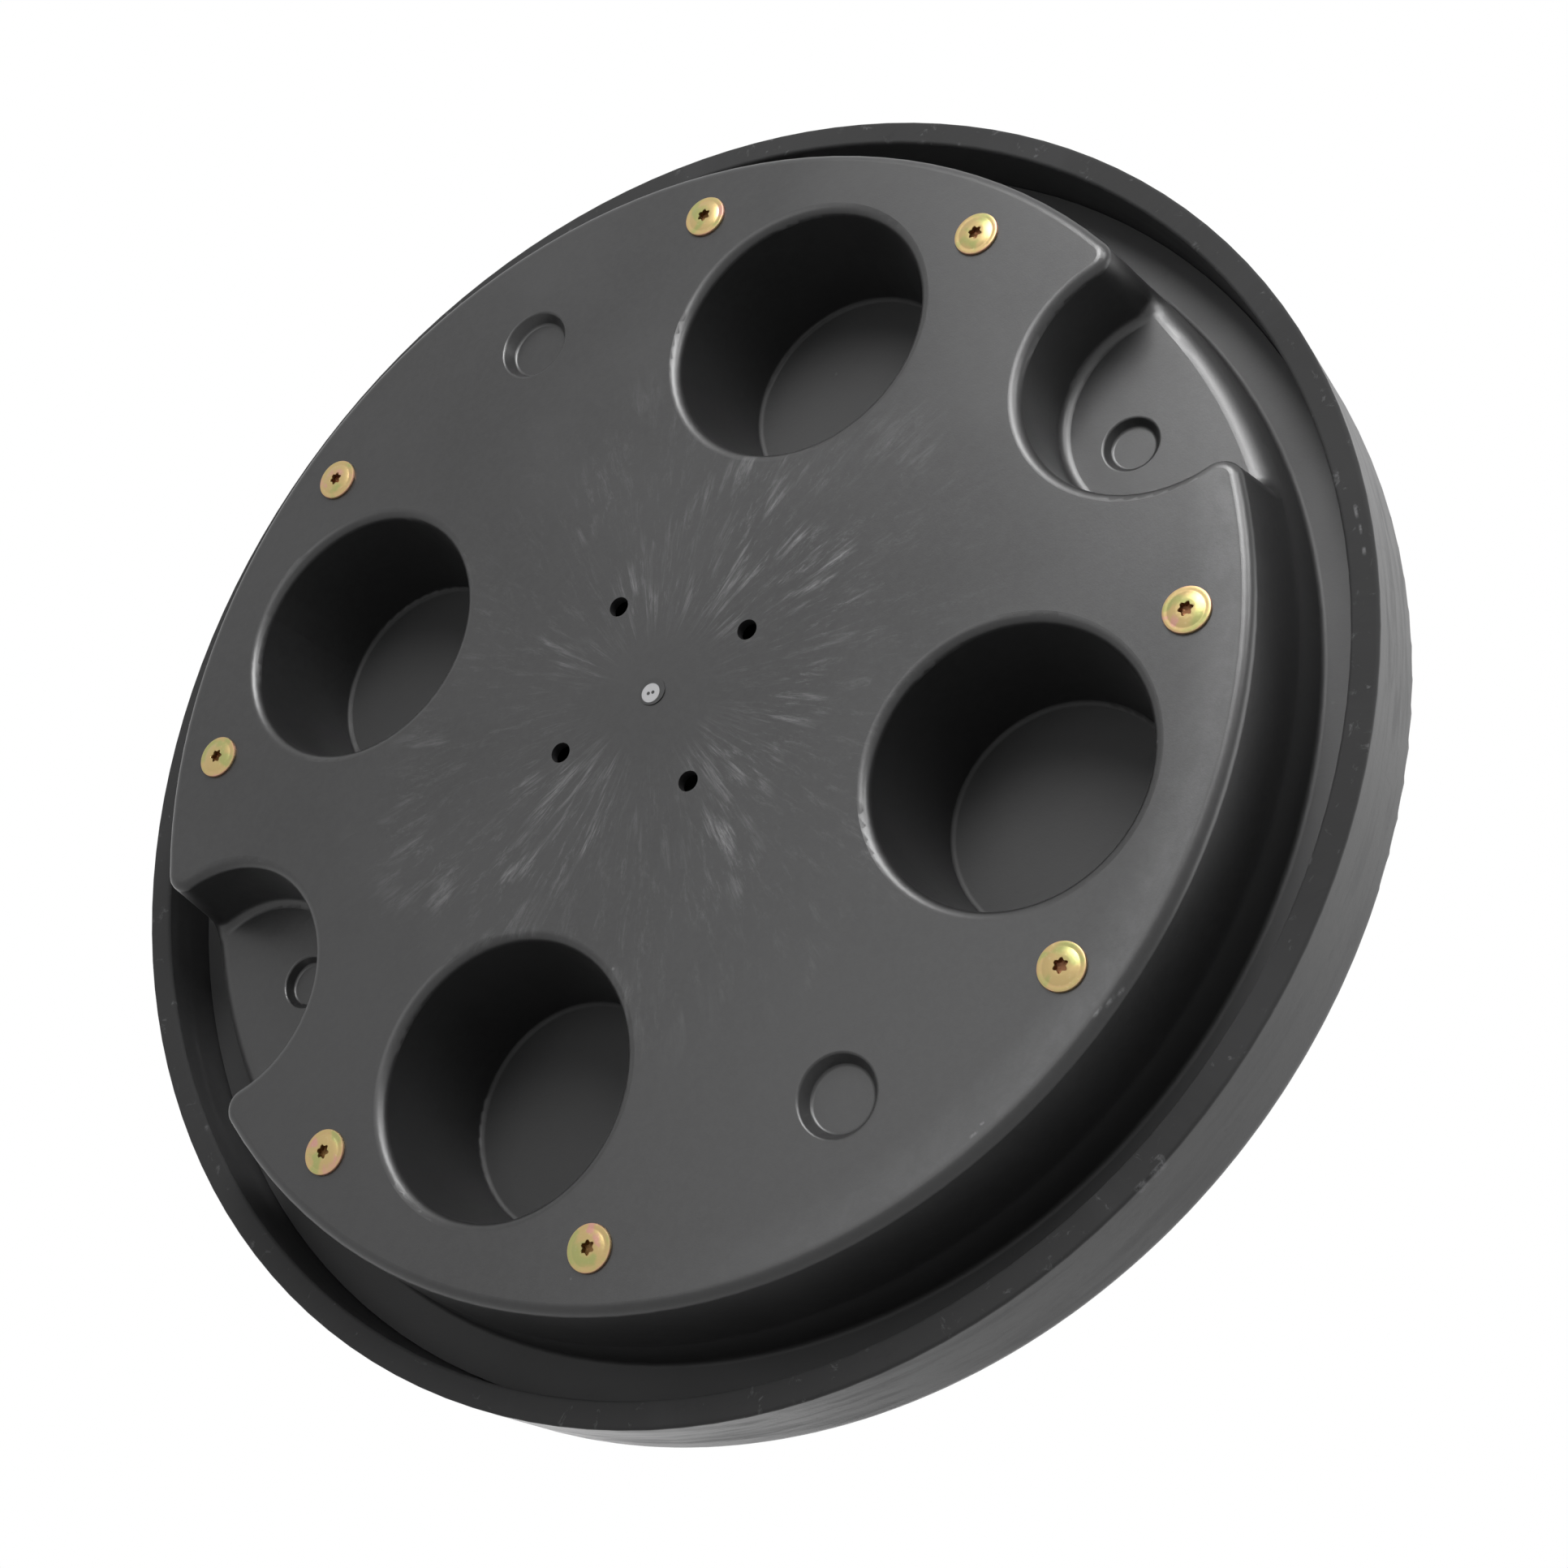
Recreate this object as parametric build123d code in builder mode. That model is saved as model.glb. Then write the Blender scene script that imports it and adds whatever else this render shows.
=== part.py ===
from build123d import *
import os
from math import ceil, cos, hypot, radians, sin

# Round plastic manhole cover: a tread shell with a deep skirt, and an inner
# pan screwed up into it. Millimetres, +Z up through the tread, origin on the
# cover's axis at the lowest plane of the screw heads. The lifting pockets and
# the pan's notches lie on the X axis.

# heights, counted from the pan's lower face
screw_head_height = 2.4
cover_depth = 92.0
crown_depth = 27.0
skirt_overlap = 30.0
channel_depth = cover_depth - crown_depth
skirt_rise = channel_depth - skirt_overlap

# tread shell
outer_radius = 317.0
skirt_lean = 1.0
skirt_wall = 12.0
skirt_lip_round = 1.6
edge_round = 11.0
tread_wall = 4.0
seat_gap = 0.3
brim_gap = 0.4
skirt_inner = outer_radius - skirt_wall

# inner pan, inside the channel that takes the riser's edge
channel_width = 21.0
pan_lean = 7.0
pan_foot_radius = skirt_inner - channel_width
pan_face_radius = pan_foot_radius - pan_lean
pan_face_wall = 5.0
pan_wall = 4.0
pan_edge_round = 5.0
channel_corner_round = 2.5

# screws and their bosses
screw_inset = 27.0
screw_pitch_radius = pan_face_radius - screw_inset
screw_spread = 17.8
screw_head_radius = 10.5
screw_flange_height = 1.5
screw_dome_radius = 8.0
screw_crown_radius = 4.6
screw_edge_chamfer = 0.5
screw_shank_radius = 4.0
screw_thread_radius = 3.5
screw_tip_room = 30.0
screw_length = cover_depth - tread_wall - screw_tip_room
screw_hole_gap = 0.4
screw_hole_radius = screw_shank_radius + screw_hole_gap
recess_tip_radius = 3.3
recess_root_radius = 2.3
recess_depth = 3.2
boss_radius = 9.0
boss_bore_radius = screw_thread_radius + seat_gap

# cups, one inside each pair of screws
cup_to_screws = 67.0
cup_pitch_radius = screw_pitch_radius - cup_to_screws
cup_mouth_radius = 63.2
cup_draft = 8.7
cup_floor_radius = cup_mouth_radius - cup_draft
cup_mouth_round = 5.0
cup_floor_round = 2.5

# notches in the pan's wall, and the dimples
notch_inset = 20.0
notch_pitch_radius = pan_face_radius - notch_inset
notch_mouth_radius = 58.8
notch_draft = 3.8
notch_foot_radius = notch_mouth_radius - notch_draft
notch_roof = 25.0
notch_depth = channel_depth - notch_roof
notch_foot_round = 4.5
notch_corner_round = 10.0
notch_dimple_inset = 25.0
notch_dimple_pitch = notch_pitch_radius - notch_dimple_inset
notch_dimple_radius = 13.0
notch_dimple_draft = 2.5
notch_dimple_floor = notch_dimple_radius - notch_dimple_draft
notch_dimple_depth = 4.5
face_dimple_inset = 57.0
face_dimple_x = 9.3
face_dimple_y = pan_face_radius - face_dimple_inset
face_dimple_radius = 18.0
face_dimple_draft = 3.5
face_dimple_floor = face_dimple_radius - face_dimple_draft
face_dimple_depth = 6.0
dimple_mouth_round = 1.5
dimple_floor_round = 1.8
vent_pitch_radius = 51.5
vent_radius = 4.9
gate_radius = 6.5
gate_height = 0.5

# lifting pockets above the notches, and the holes beside them
pocket_inset = 44.0
pocket_length = 61.0
pocket_outer = outer_radius - pocket_inset
pocket_inner = pocket_outer - pocket_length
pocket_half_width = 48.0
pocket_corner = 3.5
pocket_wall = 3.5
pocket_gap = 4.0
ledge_depth = 8.0
ledge_width = 3.0
throat_wall = 3.5
throat_depth = ledge_depth + throat_wall
hopper_side_run = 18.0
hopper_half_width = pocket_half_width - hopper_side_run
hopper_floor_length = 8.0
hopper_wall_slope = 2.0
hopper_bottom = notch_depth + notch_dimple_depth + pan_wall + pocket_gap + pocket_wall
hopper_depth = cover_depth - hopper_bottom
flank_hole_inset = 25.6
flank_hole_gap = 7.5
flank_hole_radius = 10.5
flank_hole_pitch_x = pocket_inner + flank_hole_inset
flank_hole_pitch_y = pocket_half_width + flank_hole_gap + flank_hole_radius

# raised tread, centre disc and bare label field
border_width = 27.0
tread_radius = outer_radius - border_width
lozenge_pitch = 29.0
lozenge_turn = 8.7
lozenge_phase = 11.2
lozenge_length = 26.0
lozenge_width = 9.0
lozenge_flat = 9.0
lozenge_height = 1.2
disc_radius = 63.0
disc_depth = 0.5
field_gap = 13.0
field_depth = 41.0
field_low_x = -47.0
field_high_x = 50.0
field_low_y = disc_radius + field_gap
field_high_y = field_low_y + field_depth
field_height = 0.8
bead_width = 2.5
bead_height = 1.4

# stiffening ribs between the tread and the pan
rib_wall = 3.5
rib_gap = 5.0
rib_pocket_gap = 12.0
rib_skirt_gap = 13.0
inner_ring = disc_radius + rib_gap
pocket_ring = pocket_inner - rib_pocket_gap
skirt_ring = skirt_inner - rib_skirt_gap
rib_rings = (inner_ring, (inner_ring + pocket_ring) / 2, pocket_ring, skirt_ring)

# levels in the part's own frame
face_level = screw_head_height
skirt_level = face_level + skirt_rise
channel_level = face_level + channel_depth
tread_level = face_level + cover_depth
notch_level = face_level + notch_depth
brim_top = channel_level + pan_wall
rib_level = brim_top + seat_gap
plate_level = tread_level - tread_wall
brim_radius = skirt_inner - brim_gap
skirt_top_radius = outer_radius - skirt_lean
pocket_middle = (pocket_inner + pocket_outer) / 2
rib_height = plate_level - rib_level
screw_shank_length = pan_face_wall
boss_height = plate_level - face_level - pan_face_wall - seat_gap
boss_bore_depth = screw_length
throat_level = tread_level - throat_depth
throat_length = pocket_length - 2 * ledge_width
throat_width = 2 * (pocket_half_width - ledge_width)
hopper_level = tread_level - hopper_depth
hopper_middle = pocket_inner + ledge_width + hopper_wall_slope + hopper_floor_length / 2

screw_angles = [
    quarter * 90.0 + 45.0 + side * screw_spread
    for quarter in range(4)
    for side in (-1, 1)
]
rib_angles = screw_angles + [45.0, 90.0, 135.0, 225.0, 270.0, 315.0]
screw_spots = [
    (screw_pitch_radius * cos(radians(a)), screw_pitch_radius * sin(radians(a)))
    for a in screw_angles
]
notch_spots = [(side * notch_pitch_radius, 0) for side in (1, -1)]
notch_dimple_spots = [(side * notch_dimple_pitch, 0) for side in (1, -1)]
face_dimple_spots = [(face_dimple_x, side * face_dimple_y) for side in (1, -1)]
flank_spots = [
    (end * flank_hole_pitch_x, side * flank_hole_pitch_y)
    for end in (1, -1)
    for side in (1, -1)
]

foot = (Align.CENTER, Align.CENTER, Align.MIN)


def in_band(edge, level, reach=0.05):
    """True for an edge that lies whole in the horizontal plane at level."""
    box = edge.bounding_box()
    return abs(box.min.Z - level) < reach and abs(box.max.Z - level) < reach


def is_ring(edge, level, radius):
    """True for a round edge of that radius at level."""
    return in_band(edge, level) and edge.geom_type == GeomType.CIRCLE and abs(edge.radius - radius) < 0.1


def corner(sketch, x, y):
    """The sketch's corner at x, y."""
    return sketch.vertices().filter_by(lambda v: hypot(v.X - x, v.Y - y) < 0.01)


def at(spots, level):
    """The same spots at a level."""
    return [(x, y, level) for x, y in spots]


# what is cut out of the pan for one cup
with BuildPart() as cup_space:
    with BuildSketch(Plane.XZ) as cup_section:
        with BuildLine():
            Polyline(
                (0, face_level),
                (cup_mouth_radius, face_level),
                (cup_floor_radius, channel_level),
                (0, channel_level),
                close=True,
            )
        make_face()
        fillet(corner(cup_section, cup_floor_radius, channel_level), cup_floor_round)
    revolve(axis=Axis.Z)

# what is cut out of the pan for one notch
with BuildPart() as notch_space:
    with BuildSketch(Plane.XZ) as notch_section:
        with BuildLine():
            Polyline(
                (0, face_level),
                (notch_mouth_radius, face_level),
                (notch_foot_radius, notch_level),
                (0, notch_level),
                close=True,
            )
        make_face()
        fillet(corner(notch_section, notch_foot_radius, notch_level), notch_foot_round)
    revolve(axis=Axis.Z)

# what is cut out of a notch's roof for its dimple
with BuildPart() as notch_dimple_space:
    with BuildSketch(Plane.XZ) as notch_dimple_section:
        with BuildLine():
            Polyline(
                (0, notch_level),
                (notch_dimple_radius, notch_level),
                (notch_dimple_floor, notch_level + notch_dimple_depth),
                (0, notch_level + notch_dimple_depth),
                close=True,
            )
        make_face()
        fillet(
            corner(notch_dimple_section, notch_dimple_floor, notch_level + notch_dimple_depth),
            dimple_floor_round,
        )
    revolve(axis=Axis.Z)

# what is cut out of the pan's face for one dimple
with BuildPart() as face_dimple_space:
    with BuildSketch(Plane.XZ) as face_dimple_section:
        with BuildLine():
            Polyline(
                (0, face_level),
                (face_dimple_radius, face_level),
                (face_dimple_floor, face_level + face_dimple_depth),
                (0, face_level + face_dimple_depth),
                close=True,
            )
        make_face()
        fillet(
            corner(face_dimple_section, face_dimple_floor, face_level + face_dimple_depth),
            dimple_floor_round,
        )
    revolve(axis=Axis.Z)

# space enclosed between the pan's face and the tread, round the cups and notches
with BuildPart() as pan_hollow:
    with BuildSketch(Plane.XZ):
        with BuildLine():
            Polyline(
                (0, face_level + pan_face_wall),
                (pan_face_radius - pan_wall, face_level + pan_face_wall),
                (pan_foot_radius - pan_wall, brim_top),
                (0, brim_top),
                close=True,
            )
        make_face()
    revolve(axis=Axis.Z)
    with Locations((0, 0, face_level)):
        with PolarLocations(cup_pitch_radius, 4, start_angle=45):
            Cone(
                cup_mouth_radius + pan_wall,
                cup_floor_radius + pan_wall,
                brim_top - face_level,
                align=foot,
                mode=Mode.SUBTRACT,
            )
    with Locations(*at(notch_spots, face_level)):
        Cone(
            notch_mouth_radius + pan_wall,
            notch_foot_radius + pan_wall,
            notch_depth + pan_wall,
            align=foot,
            mode=Mode.SUBTRACT,
        )
    with Locations(*at(notch_dimple_spots, notch_level)):
        Cylinder(
            notch_dimple_radius + pan_wall,
            notch_dimple_depth + pan_wall,
            align=foot,
            mode=Mode.SUBTRACT,
        )
    with Locations(*at(face_dimple_spots, face_level)):
        Cylinder(
            face_dimple_radius + pan_wall,
            face_dimple_depth + pan_wall,
            align=foot,
            mode=Mode.SUBTRACT,
        )

# inner pan: face down, wall up to the brim, cups and notches drawn up into it
with BuildPart() as inner_pan:
    with BuildSketch(Plane.XZ) as pan_section:
        with BuildLine():
            Polyline(
                (0, face_level),
                (pan_face_radius, face_level),
                (pan_foot_radius, channel_level),
                (brim_radius, channel_level),
                (brim_radius, brim_top),
                (0, brim_top),
                close=True,
            )
        make_face()
        fillet(corner(pan_section, pan_foot_radius, channel_level), channel_corner_round)
    revolve(axis=Axis.Z)
    with Locations(*notch_spots):
        add(notch_space.part, mode=Mode.SUBTRACT)
    # rim of each notch where it opens through the pan's wall
    notch_rims = inner_pan.edges().filter_by(
        lambda e: e.bounding_box().max.Z < notch_level + 0.05
        and not in_band(e, face_level)
        and hypot((e @ 0.5).X, (e @ 0.5).Y) > (pan_face_radius + notch_pitch_radius) / 2
    )
    fillet(notch_rims, notch_corner_round)
    fillet(inner_pan.edges().filter_by(lambda e: in_band(e, face_level)), pan_edge_round)
    with Locations((0, 0, 0)):
        with PolarLocations(cup_pitch_radius, 4, start_angle=45):
            add(cup_space.part, mode=Mode.SUBTRACT)
    cup_mouths = inner_pan.edges().filter_by(lambda e: is_ring(e, face_level, cup_mouth_radius))
    fillet(cup_mouths, cup_mouth_round)
    add(pan_hollow.part, mode=Mode.SUBTRACT)
    with Locations(*notch_dimple_spots):
        add(notch_dimple_space.part, mode=Mode.SUBTRACT)
    with Locations(*face_dimple_spots):
        add(face_dimple_space.part, mode=Mode.SUBTRACT)
    dimple_mouths = inner_pan.edges().filter_by(
        lambda e: is_ring(e, face_level, face_dimple_radius) or is_ring(e, notch_level, notch_dimple_radius)
    )
    fillet(dimple_mouths, dimple_mouth_round)
    with Locations((0, 0, face_level)):
        with PolarLocations(vent_pitch_radius, 4):
            Cylinder(vent_radius, pan_face_wall, align=foot, mode=Mode.SUBTRACT)
        Cylinder(
            gate_radius,
            gate_height,
            align=(Align.CENTER, Align.CENTER, Align.MAX),
        )
    with Locations(*at(screw_spots, face_level)):
        Cylinder(screw_hole_radius, pan_face_wall, align=foot, mode=Mode.SUBTRACT)

# tread lozenges: two families at right angles on one turned square grid
lozenge_reach = lozenge_length / 2
turn = radians(lozenge_turn)
tread_steps = ceil(tread_radius / lozenge_pitch) + 1


def keeps_clear(x, y):
    """True where a lozenge clears the border, disc, label field, pockets and holes."""
    r = hypot(x, y)
    if r > tread_radius - lozenge_reach or r < disc_radius + lozenge_reach:
        return False
    in_field = (
        field_low_x - lozenge_reach < x < field_high_x + lozenge_reach
        and field_low_y - lozenge_reach < y < field_high_y + lozenge_reach
    )
    in_pocket = (
        pocket_inner - lozenge_reach < abs(x) < pocket_outer + lozenge_reach
        and abs(y) < pocket_half_width + lozenge_reach
    )
    near_hole = any(
        hypot(x - hx, y - hy) < flank_hole_radius + lozenge_reach for hx, hy in flank_spots
    )
    return not (in_field or in_pocket or near_hole)


lozenge_spots = []
for i in range(-tread_steps, tread_steps + 1):
    for j in range(-tread_steps, tread_steps + 1):
        along = i * lozenge_pitch + lozenge_phase
        across = j * lozenge_pitch
        x = along * cos(turn) - across * sin(turn)
        y = along * sin(turn) + across * cos(turn)
        angle = lozenge_turn if (i + j) % 2 == 0 else lozenge_turn + 90
        if keeps_clear(x, y):
            lozenge_spots.append(Location((x, y, 0), (0, 0, angle)))

# tread shell: plate, skirt, ribs, screw bosses, pocket wells, raised tread
with BuildPart() as cover:
    with BuildSketch(Plane.XZ) as shell_section:
        with BuildLine():
            Polyline(
                (0, plate_level),
                (skirt_inner, plate_level),
                (skirt_inner, skirt_level),
                (outer_radius, skirt_level),
                (skirt_top_radius, tread_level),
                (0, tread_level),
                close=True,
            )
        make_face()
        fillet(corner(shell_section, skirt_top_radius, tread_level), edge_round)
        fillet(corner(shell_section, skirt_inner, skirt_level), skirt_lip_round)
        fillet(corner(shell_section, outer_radius, skirt_level), skirt_lip_round)
    revolve(axis=Axis.Z)
    # ribs under the plate, down to the pan's brim and cup floors
    with BuildSketch(Plane.XY.offset(rib_level)):
        for ring in rib_rings:
            with BuildSketch(mode=Mode.PRIVATE) as ring_band:
                Circle(ring + rib_wall / 2)
                Circle(ring - rib_wall / 2, mode=Mode.SUBTRACT)
            add(ring_band.sketch)
        rib_run = skirt_inner + 1 - rib_rings[0]
        for angle in rib_angles:
            with PolarLocations(rib_rings[0] + rib_run / 2, 1, start_angle=angle):
                Rectangle(rib_run, rib_wall)
    extrude(amount=rib_height)
    # screw bosses
    with Locations(*at(screw_spots, face_level + pan_face_wall + seat_gap)):
        Cylinder(boss_radius, boss_height, align=foot)
    with Locations(*at(screw_spots, face_level + pan_face_wall)):
        Cylinder(boss_bore_radius, boss_bore_depth, align=foot, mode=Mode.SUBTRACT)
    # outside of the pocket wells
    for end in (1, -1):
        with BuildSketch(Plane.XY.offset(plate_level)):
            with Locations((end * pocket_middle, 0)):
                Rectangle(pocket_length + 2 * pocket_wall, 2 * (pocket_half_width + pocket_wall))
        extrude(amount=-(throat_depth + pocket_wall - tread_wall))
        with BuildSketch(Plane.XY.offset(throat_level - pocket_wall)):
            with Locations((end * pocket_middle, 0)):
                Rectangle(throat_length + 2 * pocket_wall, throat_width + 2 * pocket_wall)
        with BuildSketch(Plane.XY.offset(hopper_level - pocket_wall)):
            with Locations((end * hopper_middle, 0)):
                Rectangle(hopper_floor_length + 2 * pocket_wall, 2 * (hopper_half_width + pocket_wall))
        loft(ruled=True)
    # inside of the pocket wells: mouth, ledge, throat and hopper
    for end in (1, -1):
        with BuildSketch(Plane.XY.offset(tread_level)):
            with Locations((end * pocket_middle, 0)):
                RectangleRounded(pocket_length, 2 * pocket_half_width, pocket_corner)
        extrude(amount=-ledge_depth, mode=Mode.SUBTRACT)
        with BuildSketch(Plane.XY.offset(tread_level - ledge_depth)):
            with Locations((end * pocket_middle, 0)):
                Rectangle(throat_length, throat_width)
        extrude(amount=-(throat_depth - ledge_depth), mode=Mode.SUBTRACT)
        with BuildSketch(Plane.XY.offset(throat_level)):
            with Locations((end * pocket_middle, 0)):
                Rectangle(throat_length, throat_width)
        with BuildSketch(Plane.XY.offset(hopper_level)):
            with Locations((end * hopper_middle, 0)):
                Rectangle(hopper_floor_length, 2 * hopper_half_width)
        loft(ruled=True, mode=Mode.SUBTRACT)
    # holes beside the pockets
    with Locations(*at(flank_spots, tread_level)):
        Cylinder(
            flank_hole_radius,
            3 * tread_wall,
            mode=Mode.SUBTRACT,
        )
    # centre disc with its gate mark
    with Locations((0, 0, tread_level)):
        Cylinder(
            disc_radius,
            disc_depth,
            align=(Align.CENTER, Align.CENTER, Align.MAX),
            mode=Mode.SUBTRACT,
        )
    with Locations((0, 0, tread_level - disc_depth)):
        Cylinder(gate_radius, gate_height, align=foot)
    # bare label field with a bead along its side next to the disc
    with BuildSketch(Plane.XY.offset(tread_level)):
        with Locations(((field_low_x + field_high_x) / 2, (field_low_y + field_high_y) / 2)):
            Rectangle(field_high_x - field_low_x, field_high_y - field_low_y)
    extrude(amount=field_height)
    with BuildSketch(Plane.XY.offset(tread_level)):
        with Locations(((field_low_x + field_high_x) / 2, field_low_y + bead_width / 2)):
            Rectangle(field_high_x - field_low_x, bead_width)
    extrude(amount=bead_height)
    # raised tread
    with BuildSketch(Plane.XY.offset(tread_level)):
        with Locations(*lozenge_spots):
            Polygon(
                (lozenge_reach, 0),
                (lozenge_flat / 2, lozenge_width / 2),
                (-lozenge_flat / 2, lozenge_width / 2),
                (-lozenge_reach, 0),
                (-lozenge_flat / 2, -lozenge_width / 2),
                (lozenge_flat / 2, -lozenge_width / 2),
                align=None,
            )
    extrude(amount=lozenge_height)

os.makedirs("parts", exist_ok=True)
cover.part.label = "cover"
inner_pan.part.label = "inner_pan"
export_step(cover.part, "parts/cover.step")
export_step(inner_pan.part, "parts/inner_pan.step")

# flanged screws with a star recess, heads down, one at each boss
for number, (x, y) in enumerate(screw_spots, start=1):
    with BuildPart() as screw:
        with BuildSketch(Plane.XZ):
            with BuildLine():
                Polyline(
                    (0, 0),
                    (screw_crown_radius, 0),
                    (screw_dome_radius, face_level - screw_flange_height),
                    (screw_head_radius - screw_edge_chamfer, face_level - screw_flange_height),
                    (screw_head_radius, face_level - screw_flange_height + screw_edge_chamfer),
                    (screw_head_radius, face_level),
                    (screw_shank_radius, face_level),
                    (screw_shank_radius, face_level + screw_shank_length),
                    (screw_thread_radius, face_level + screw_shank_length),
                    (screw_thread_radius, face_level + screw_length - 2 * screw_thread_radius),
                    (0, face_level + screw_length),
                    close=True,
                )
            make_face()
        revolve(axis=Axis.Z)
        with BuildSketch(Plane.XY):
            recess_points = []
            for k in range(12):
                reach = recess_tip_radius if k % 2 == 0 else recess_root_radius
                recess_points.append((reach * cos(radians(30 * k)), reach * sin(radians(30 * k))))
            Polygon(*recess_points, align=None)
        extrude(amount=recess_depth, mode=Mode.SUBTRACT)
    placed = screw.part.moved(Location((x, y, 0)))
    placed.label = f"screw_{number}"
    export_step(placed, f"parts/screw_{number}.step")
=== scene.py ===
from math import atan2, ceil, cos, hypot, pi, radians, sin

import bpy
from mathutils import Matrix, Vector


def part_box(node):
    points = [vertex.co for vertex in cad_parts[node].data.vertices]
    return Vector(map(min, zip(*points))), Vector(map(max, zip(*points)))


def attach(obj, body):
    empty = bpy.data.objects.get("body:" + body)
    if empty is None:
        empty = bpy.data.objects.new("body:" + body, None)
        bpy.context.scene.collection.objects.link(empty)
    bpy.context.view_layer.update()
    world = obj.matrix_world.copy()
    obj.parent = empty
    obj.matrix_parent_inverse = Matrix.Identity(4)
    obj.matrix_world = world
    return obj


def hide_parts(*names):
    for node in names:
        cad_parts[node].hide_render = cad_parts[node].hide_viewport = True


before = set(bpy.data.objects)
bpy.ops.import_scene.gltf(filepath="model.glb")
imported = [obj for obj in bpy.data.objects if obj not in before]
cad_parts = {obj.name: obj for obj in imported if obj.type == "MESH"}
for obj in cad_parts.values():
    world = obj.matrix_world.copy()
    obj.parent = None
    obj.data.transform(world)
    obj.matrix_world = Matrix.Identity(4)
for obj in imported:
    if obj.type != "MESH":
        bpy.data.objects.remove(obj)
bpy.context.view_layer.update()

# Manhole cover: black moulded plastic, seen from below as in the photograph.
# Everything is in metres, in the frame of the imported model: +Z up through the
# tread, lifting pockets and notches on the X axis, screw heads down at z = 0.

MM = 0.001

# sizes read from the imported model, and the heights of its main planes
cover_low, cover_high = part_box("cover")
pan_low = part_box("inner_pan")[0]
screw_names = sorted(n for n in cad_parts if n.startswith("screw_"))
gate_height = 0.5 * MM
cover_depth = 92 * MM
channel_depth = 65 * MM
lip_height = 35 * MM
face_level = pan_low.z + gate_height
tread_level = face_level + cover_depth
channel_level = face_level + channel_depth
lip_level = face_level + lip_height
skirt_radius = (cover_high.x - cover_low.x) / 2
face_flat_radius = 272 * MM

# camera: the photograph's, drawn closer to this one of its three pictures
camera_place = Vector((0.3169, 0.6939, -0.8909))
camera_target = Vector((0.0165, 0.0591, 0.0024))
camera_up = Vector((0.5226, -0.7680, -0.3701))
photo_size = 1932
photo_focal = 2394.2
closer = 1.36
sensor = 36.0


def look_at(obj, place, target, up):
    """Place obj looking from place at target, with up showing upwards."""
    back = (place - target).normalized()
    right = up.cross(back).normalized()
    above = back.cross(right)
    turn = Matrix((right, above, back)).transposed()
    obj.matrix_world = Matrix.Translation(place) @ turn.to_4x4()


camera_data = bpy.data.cameras.new("camera")
camera_data.sensor_width = sensor
camera_data.lens = photo_focal / photo_size * sensor * closer
camera_data.shift_x = 0.038
camera_data.shift_y = -0.006
camera_data.clip_start = 0.01
camera = bpy.data.objects.new("camera", camera_data)
bpy.context.scene.collection.objects.link(camera)
look_at(camera, camera_place, camera_target, camera_up)
bpy.context.scene.camera = camera

# shader helpers


def grey(value):
    return (value, value, value * 1.02, 1.0)


class Nodes:
    """Short calls to add and link shader nodes."""

    def __init__(self, tree):
        self.tree = tree
        tree.nodes.clear()

    def add(self, kind, inputs=None, **settings):
        node = self.tree.nodes.new(kind)
        for key, value in settings.items():
            setattr(node, key, value)
        for key, value in (inputs or {}).items():
            if isinstance(value, bpy.types.NodeSocket):
                self.tree.links.new(value, node.inputs[key])
            else:
                node.inputs[key].default_value = value
        return node

    def math(self, operation, a, b=0.0):
        return self.add("ShaderNodeMath", {0: a, 1: b}, operation=operation).outputs[0]

    def plus(self, *terms):
        total = terms[0]
        for term in terms[1:]:
            total = self.math("ADD", total, term)
        return total

    def times(self, *factors):
        total = factors[0]
        for factor in factors[1:]:
            total = self.math("MULTIPLY", total, factor)
        return total

    def minus(self, a, b):
        return self.math("SUBTRACT", a, b)

    def gap(self, a, b):
        return self.math("ABSOLUTE", self.minus(a, b))

    def length(self, x, y):
        return self.math("SQRT", self.plus(self.times(x, x), self.times(y, y)))

    def towards(self, x, y, side):
        """How far x, y lies in the direction side."""
        return self.plus(self.times(x, side[0]), self.times(y, side[1]))

    def ramp(self, value, low, high, to_low=0.0, to_high=1.0, kind="SMOOTHSTEP"):
        """to_low where value is low, to_high where it is high, and held beyond both."""
        limits = {"From Min": low, "From Max": high, "To Min": to_low, "To Max": to_high}
        node = self.add("ShaderNodeMapRange", {"Value": value, **limits}, interpolation_type=kind)
        return node.outputs["Result"]

    def noise(self, place, fineness, detail, rough, distortion=0.0):
        """Noise from 0 to 1, with that many waves in a metre."""
        shape = {"Scale": fineness, "Detail": detail, "Roughness": rough, "Distortion": distortion}
        return self.add("ShaderNodeTexNoise", {"Vector": place, **shape}).outputs["Fac"]

    def combine(self, x, y, z):
        return self.add("ShaderNodeCombineXYZ", {0: x, 1: y, 2: z}).outputs[0]

    def mix(self, factor, a, b, blend="MIX"):
        node = self.add("ShaderNodeMix", {0: factor, 6: a, 7: b}, data_type="RGBA", blend_type=blend)
        return node.outputs[2]

    def to_grey(self, colour, value, mask, share):
        """Colour drawn towards a grey by that share of the mask."""
        return self.mix(self.times(mask, share), colour, grey(value))

    def bump(self, height, distance, strength, normal=None):
        inputs = {"Height": height, "Distance": distance, "Strength": strength}
        if normal is not None:
            inputs["Normal"] = normal
        return self.add("ShaderNodeBump", inputs).outputs["Normal"]

    def finish(self, shader):
        self.add("ShaderNodeOutputMaterial", {"Surface": shader.outputs[0]})


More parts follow.
